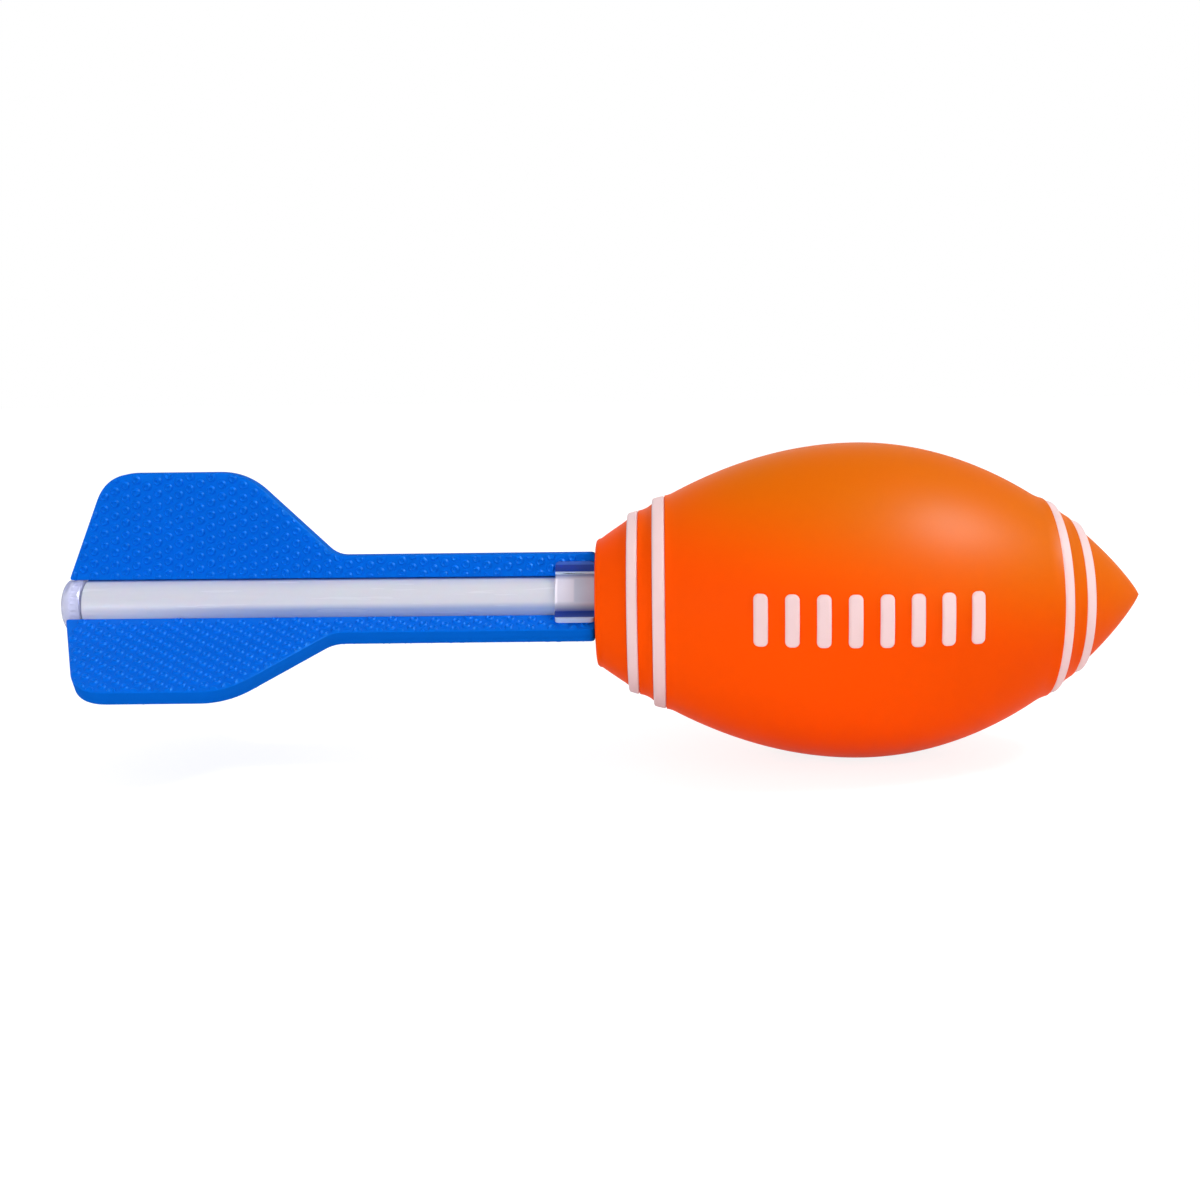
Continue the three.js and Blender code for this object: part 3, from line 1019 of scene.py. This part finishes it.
def rounded_outline(corners, step):
    """Points along straight sides and curved corners, from (along, out, corner radius), a step apart."""
    points = []
    count = len(corners)
    for index, (along, out, radius) in enumerate(corners):
        corner = Vector((along, out))
        backward = (Vector(corners[index - 1][:2]) - corner).normalized()
        forward = (Vector(corners[(index + 1) % count][:2]) - corner).normalized()
        cut_back = radius / math.tan(backward.angle(forward) / 2)
        first = corner + backward * cut_back
        last = corner + forward * cut_back
        steps = max(1, round(2 * cut_back / step)) if radius else 0
        for turn in range(steps + 1):
            share = turn / steps if steps else 0
            points.append(first * (1 - share) ** 2 + corner * 2 * share * (1 - share) + last * share**2)
    dense = []
    for here, there in zip(points, points[1:] + points[:1]):
        count = max(1, round((there - here).length / step))
        dense += [here.lerp(there, part / count) for part in range(count)]
    return dense


def fin_outline(root_slide, tip_slide, neck_slide, seat_slide):
    neck_start = tail_tip + FIN_NECK_START_AT + neck_slide
    front_corner = tail_tip + FIN_FRONT_CORNER_AT + neck_slide
    corners = [
        (fin_low.x + root_slide, fin_low.z + seat_slide, FIN_ROOT_ROUND),
        (fin_high.x, fin_low.z + seat_slide * SEAT_FRONT_SHARE, 0),
        (fin_high.x, FIN_NECK_RADIUS, FIN_NECK_END_ROUND),
        (neck_start, FIN_NECK_RADIUS, FIN_NECK_CORNER_ROUND),
        (front_corner, fin_high.z, FIN_FRONT_CORNER_ROUND),
        (tail_tip + FIN_TAIL_CORNER_AT + tip_slide, fin_high.z, FIN_TAIL_CORNER_ROUND),
    ]
    return rounded_outline(corners, FIN_OUTLINE_STEP)


print("points round each fin:", [len(fin_outline(*slides)) for slides in FIN_SLIDES.values()])

# %% [markdown]
# Both faces of a sheet carry an embossed pattern of small domes in a hexagonal lattice, turned a few
# degrees from square. Each dome is a steep ring round a shallow dimple, which catches the light as a small
# crescent. The domes are real geometry: the points of their rings are triangulated together with the
# rim of the face, so the flat foam between them takes few triangles.

# %% Embossing
DOME_PITCH = 3.6 * MM
DOME_RINGS = [(0, 0.16), (0.34, 0.20), (0.60, 0.44), (0.82, 0.57), (0.98, 0.53), (1.38, 0.0)]
DOME_SIDES = 14
DOME_TURN = math.radians(3.5)
FACE_MARGIN = 0.35 * MM
ONLY_INSIDE_THE_BORDER = 1
CLOSEST_POINTS = 1e-9


def pulled_in(outline, inset):
    """The outline moved inwards. It runs anticlockwise, so inwards is to the left of each step."""
    moved = []
    count = len(outline)
    for index, point in enumerate(outline):
        step = outline[(index + 1) % count] - outline[index - 1]
        moved.append(point + Vector((-step.y, step.x)).normalized() * inset)
    return moved


def inside(places, outline):
    """Which places lie inside the outline."""
    found = np.zeros(len(places), bool)
    x, y = places[:, 0], places[:, 1]
    for here, there in zip(outline, outline[1:] + outline[:1]):
        crosses = (here.y > y) != (there.y > y)
        if here.y != there.y:
            at = here.x + (y - here.y) * (there.x - here.x) / (there.y - here.y)
            found ^= crosses & (x < at)
    return found


def lattice(pitch, turn, low, high):
    """Points of a hexagonal lattice that covers a box."""
    reach = max(high[0] - low[0], high[1] - low[1])
    count = math.ceil(reach / pitch) + 2
    steps = np.arange(-count, count + 1)
    first, second = np.meshgrid(steps, steps)
    second_turn = turn + math.radians(60)
    x = (first * math.cos(turn) + second * math.cos(second_turn)) * pitch
    y = (first * math.sin(turn) + second * math.sin(second_turn)) * pitch
    places = np.column_stack((x.ravel(), y.ravel())) + (np.array(low) + np.array(high)) / 2
    keep = (places >= np.array(low)).all(1) & (places <= np.array(high)).all(1)
    return places[keep]


def dome_points(low, high, side, shift):
    """Places and heights of the rings of every dome. DOME_RINGS gives radius and height in millimetres."""
    turn = DOME_TURN * side + math.radians(90)
    places = []
    heights = []
    for centre in lattice(DOME_PITCH, turn, low, high) + np.array((shift, shift / 2)):
        for ring, (radius, height) in enumerate(DOME_RINGS):
            for step in range(DOME_SIDES if radius else 1):
                angle = math.tau * (step + ring % 2 / 2) / DOME_SIDES
                along = centre[0] + radius * MM * math.cos(angle)
                places.append((along, centre[1] + radius * MM * math.sin(angle)))
                heights.append(height * MM)
    return np.array(places), np.array(heights)


def add_face(points, faces, rim, side, base, shift):
    """Fills one face of a fin inside its rim with triangles, and lifts them by the domes."""
    low = (min(point.x for point in rim), min(point.y for point in rim))
    high = (max(point.x for point in rim), max(point.y for point in rim))
    places, heights = dome_points(low, high, side, shift)
    kept = inside(places, pulled_in(rim, FACE_MARGIN))
    flat = rim + [Vector(place) for place in places[kept]]
    levels = heights[kept]
    borders = [(step, (step + 1) % len(rim)) for step in range(len(rim))]
    _, _, triangles, origins, _, _ = delaunay_2d_cdt(
        flat, borders, [list(range(len(rim)))], ONLY_INSIDE_THE_BORDER, CLOSEST_POINTS
    )
    index = {}
    for place, (source, *_) in enumerate(origins):
        if source < len(rim):
            index[place] = base + source
        else:
            spot = flat[source]
            index[place] = len(points)
            points.append((spot.x, side * (fin_half_thickness + levels[source - len(rim)]), spot.y))
    faces.extend([tuple(index[corner] for corner in triangle) for triangle in triangles])


print("rings of a dome, radius and height in mm:", DOME_RINGS)

# %% [markdown]
# A whole fin is a stack of rings round its cut edge, with a slight rounding to each face, and the two
# embossed faces. It is built lying along the upper fin's plane and then turned about the toy's axis to its
# own place. The lattice starts at another place on each fin, as it falls when the sheets are cut.

# %% Fins
FIN_EDGE_ROUND = 0.3 * MM
FIN_EDGE_TURNS = (90, 60, 30, 0)
LATTICE_SHIFT = 0.7 * MM
LATTICE_SHIFT_STEP = 1 * MM


def fin_mesh(name, angle, shift, slides):
    outline = fin_outline(*slides)
    rings = []
    for turn in FIN_EDGE_TURNS:
        part = math.radians(turn)
        height = fin_half_thickness - FIN_EDGE_ROUND * (1 - math.sin(part))
        rings.append((pulled_in(outline, FIN_EDGE_ROUND * (1 - math.cos(part))), height))
    rings += [(ring, -height) for ring, height in reversed(rings)]
    points = [(point.x, height, point.y) for ring, height in rings for point in ring]
    faces = ring_faces(len(outline), len(rings))
    for side, base in ((1, 0), (-1, len(points) - len(outline))):
        add_face(points, faces, rings[0][0], side, base, shift * side)
    spin = Matrix.Rotation(angle, 3, "X")
    return make_mesh(name, [spin @ Vector(point) for point in points], faces, blue_foam)


for index, (node, slides) in enumerate(FIN_SLIDES.items()):
    mesh = fin_mesh(node, FIN_ANGLES[index], LATTICE_SHIFT + index * LATTICE_SHIFT_STEP, slides)
    fin = add_piece(node + "_sheet", mesh, "blue_foam", node)

# %% [markdown]
# The shaft tube carries the fins. Its ends are cut square with the edges just broken.

# %% Shaft tube
TUBE_WALL = 1.5 * MM
TUBE_EDGE = 0.2 * MM
TUBE_STEP = 10 * MM


def tube_outline():
    inner = tube_radius - TUBE_WALL
    start, end = tube_low.x, tube_high.x
    places = even_steps(start + TUBE_EDGE, end - TUBE_EDGE, TUBE_STEP)
    outline = [(start, inner + TUBE_EDGE), (start, tube_radius - TUBE_EDGE)]
    outline += [(along, tube_radius) for along in places]
    outline += [(end, tube_radius - TUBE_EDGE), (end, inner + TUBE_EDGE)]
    return outline + [(along, inner) for along in reversed(places)]


tube_points, tube_faces = turned(tube_outline(), closed=True)
tube_mesh = make_mesh("milky_tube", lifted_tail(tube_points), tube_faces, milky_plastic)
add_piece("milky_tube", tube_mesh, "milky_plastic", "shaft_tube")

# %% [markdown]
# The end cap is a clear moulding: a hollow dome with a rim as wide as the tube, and a spigot that is
# pushed into the tube. A crown of small round beads stands inside the rim, and shows faintly outside too.
# The whole cap is one turned shell with an outer and an inner side, and each bead is a bump in both.

# %% End cap
CAP_DOME_LENGTH = 2.5 * MM
CAP_RIM_END = 6.6 * MM
CAP_WALL = 1.1 * MM
CAP_SPIGOT_RADIUS = 6.2 * MM
CAP_SPIGOT_WALL = 1.2 * MM
CAP_EDGE = 0.25 * MM
CAP_WEB = 0.25 * MM
CAP_SIDES = 220
CAP_DOME_STEPS = 20
BEAD_COUNT = 26
BEAD_RISE = 0.3 * MM
BEAD_DEPTH = 0.9 * MM
BEAD_START = 4.0 * MM
BEAD_END = 6.3 * MM
BEAD_STEP = 0.2 * MM

cap_low, cap_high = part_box("end_cap")


def dome_arc(start, length, radius):
    """A quarter of an ellipse, from its tip on the axis out to its radius."""
    return [(start + length * (1 - cosine), radius * sine) for sine, cosine in quarter_turn(CAP_DOME_STEPS)]


def cap_outline():
    start = cap_low.x
    radius = cap_high.z
    rim_end = start + CAP_RIM_END
    spigot_end = cap_high.x
    bore = CAP_SPIGOT_RADIUS - CAP_SPIGOT_WALL
    inner = radius - CAP_WALL
    rim = even_steps(start + CAP_DOME_LENGTH, rim_end - CAP_EDGE, BEAD_STEP)[1:]
    outline = dome_arc(start, CAP_DOME_LENGTH, radius) + [(along, radius) for along in rim]
    outline += [(rim_end, radius - CAP_EDGE), (rim_end, CAP_SPIGOT_RADIUS)]
    outline += [(spigot_end - CAP_EDGE, CAP_SPIGOT_RADIUS), (spigot_end, CAP_SPIGOT_RADIUS - CAP_EDGE)]
    outline += [(spigot_end, bore), (rim_end - CAP_WEB, bore)]
    outline += [(along, inner) for along in even_steps(start + BEAD_END, start + BEAD_START, BEAD_STEP)]
    return outline + dome_arc(start + CAP_WALL, CAP_DOME_LENGTH, inner)[::-1]


def with_beads(points):
    """Pushes a ring of beads inwards on the inner side of the cap's rim, and outwards on its outer side."""
    start = cap_low.x + BEAD_START
    length = BEAD_END - BEAD_START
    walls = [(cap_high.z - CAP_WALL, CAP_WALL / 4, -BEAD_DEPTH), (cap_high.z, CAP_EDGE / 2, BEAD_RISE)]
    beaded = []
    for along, side, up in points:
        radius = math.hypot(side, up)
        share = (along - start) / length
        scale = 1
        for wall_radius, nearness, push in walls:
            if 0 < share < 1 and abs(radius - wall_radius) < nearness:
                turn = math.atan2(side, up) * BEAD_COUNT / 2
                bead = math.sin(math.pi * share) * abs(math.cos(turn))
                scale = 1 + push * math.sqrt(bead) / radius
        beaded.append((along, side * scale, up * scale))
    return beaded


cap_points, cap_faces = turned(cap_outline(), CAP_SIDES)
cap_mesh = make_mesh("clear_cap", lifted_tail(with_beads(cap_points)), cap_faces, clear_plastic)
add_piece("clear_cap", cap_mesh, "clear_plastic", "end_cap")

# %% [markdown]
# The ferrule joins the tail to the head. Its sleeve covers the end of the tube, its plug goes back into
# the tube and its barbed spigot forward into the foam, and three pairs of short wings grip the necks of
# the fins. It is put together as on a bench: a turned body, plates for the wings, then a slot for each fin.
# Boolean modifiers do the joining and cutting, and a small bevel breaks the edges that catch the light.

# %% Ferrule body and plates
HUB_RADIUS = 10.0 * MM
HUB_EDGE = 0.4 * MM
HUB_EDGE_BULGE = 0.3
PLUG_RADIUS = 6.2 * MM
SLEEVE_BORE = 8.3 * MM
FIT_GAP = 0.3 * MM
BARB_RADIUS = 8.0 * MM
BARB_CORE = 7.2 * MM
BARB_COUNT = 6
SPIGOT_BEVEL = 1.5 * MM

ferrule_low, ferrule_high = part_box("ferrule")
hub_front = head_rear - FIT_GAP


def ferrule_outline():
    shoulder = tube_high.x + FIT_GAP
    bulge = HUB_EDGE * HUB_EDGE_BULGE
    outline = [(ferrule_low.x, 0), (ferrule_low.x, PLUG_RADIUS), (shoulder, PLUG_RADIUS)]
    outline += [(shoulder, SLEEVE_BORE), (hub_rear, SLEEVE_BORE), (hub_rear, HUB_RADIUS - HUB_EDGE)]
    outline += [(hub_rear + bulge, HUB_RADIUS - bulge), (hub_rear + HUB_EDGE, HUB_RADIUS)]
    outline.append((hub_front, HUB_RADIUS))
    barb_pitch = (ferrule_high.x - SPIGOT_BEVEL - hub_front) / BARB_COUNT
    for barb in range(BARB_COUNT):
        start = hub_front + barb * barb_pitch
        outline += [(start, BARB_RADIUS), (start + barb_pitch, BARB_CORE)]
    return outline + [(ferrule_high.x, BARB_CORE - SPIGOT_BEVEL), (ferrule_high.x, 0)]


def plate(outline, half_thickness):
    """Points and faces of a flat plate about the plane Y = 0."""
    count = len(outline)
    points = [(point.x, side * half_thickness, point.y) for side in (-1, 1) for point in outline]
    ends = [tuple(range(count)), tuple(range(count, 2 * count))]
    return points, ends + ring_faces(count, 2)


print("points along the ferrule's outline:", len(ferrule_outline()))

# %% Ferrule
WING_TIP_RADIUS = 12.7 * MM
WING_THICKNESS = 1.5 * MM
WING_CORNER = 1.5 * MM
WING_STEP = 0.6 * MM
SLOT_EXTRA = 1 * MM
FERRULE_SIDES = 96
FERRULE_BEVEL = 0.18 * MM
BEVEL_SEGMENTS = 2
BEVEL_FROM_ANGLE = math.radians(50)


def bench_object(name, points, faces, angle=0.0):
    """An object for the bench alone, turned about the toy's axis."""
    helper = bpy.data.objects.new(name, make_mesh(name, points, faces, ferrule_plastic))
    helper.data.transform(Matrix.Rotation(angle, 4, "X"))
    bpy.context.scene.collection.objects.link(helper)
    return helper


def ferrule_mesh():
    slot_half = fin_half_thickness + FIT_GAP
    wing_corners = [
        (hub_rear, SLEEVE_BORE, 0),
        (hub_front, SLEEVE_BORE, 0),
        (hub_front, WING_TIP_RADIUS, WING_CORNER),
        (hub_rear, WING_TIP_RADIUS, WING_CORNER),
    ]
    wings = plate(rounded_outline(wing_corners, WING_STEP), slot_half + WING_THICKNESS)
    start, top = hub_rear - SLOT_EXTRA, WING_TIP_RADIUS + SLOT_EXTRA
    slot_corners = [(start, tube_radius), (head_rear, tube_radius), (head_rear, top), (start, top)]
    slot = plate([Vector(corner) for corner in slot_corners], slot_half)
    body = bench_object("clear_ferrule", *turned(ferrule_outline(), FERRULE_SIDES))
    helpers = []
    for operation, shape in (("UNION", wings), ("DIFFERENCE", slot)):
        for angle in FIN_ANGLES:
            helpers.append(bench_object("ferrule_tool", *shape, angle))
            joint = body.modifiers.new(operation, "BOOLEAN")
            joint.operation = operation
            joint.solver = "EXACT"
            joint.object = helpers[-1]
    edge = body.modifiers.new("broken_edges", "BEVEL")
    edge.width = FERRULE_BEVEL
    edge.segments = BEVEL_SEGMENTS
    edge.limit_method = "ANGLE"
    edge.angle_limit = BEVEL_FROM_ANGLE
    depsgraph = bpy.context.evaluated_depsgraph_get()
    mesh = bpy.data.meshes.new_from_object(body.evaluated_get(depsgraph))
    for helper in [body] + helpers:
        bpy.data.objects.remove(helper)
    mesh.name = "clear_ferrule"
    mesh.transform(Matrix.Translation((0, 0, TAIL_LIFT)))
    mesh.shade_smooth()
    mesh.set_sharp_from_angle(angle=SHARP_ANGLE)
    return mesh


add_piece("clear_ferrule", ferrule_mesh(), "clear_plastic", "ferrule")
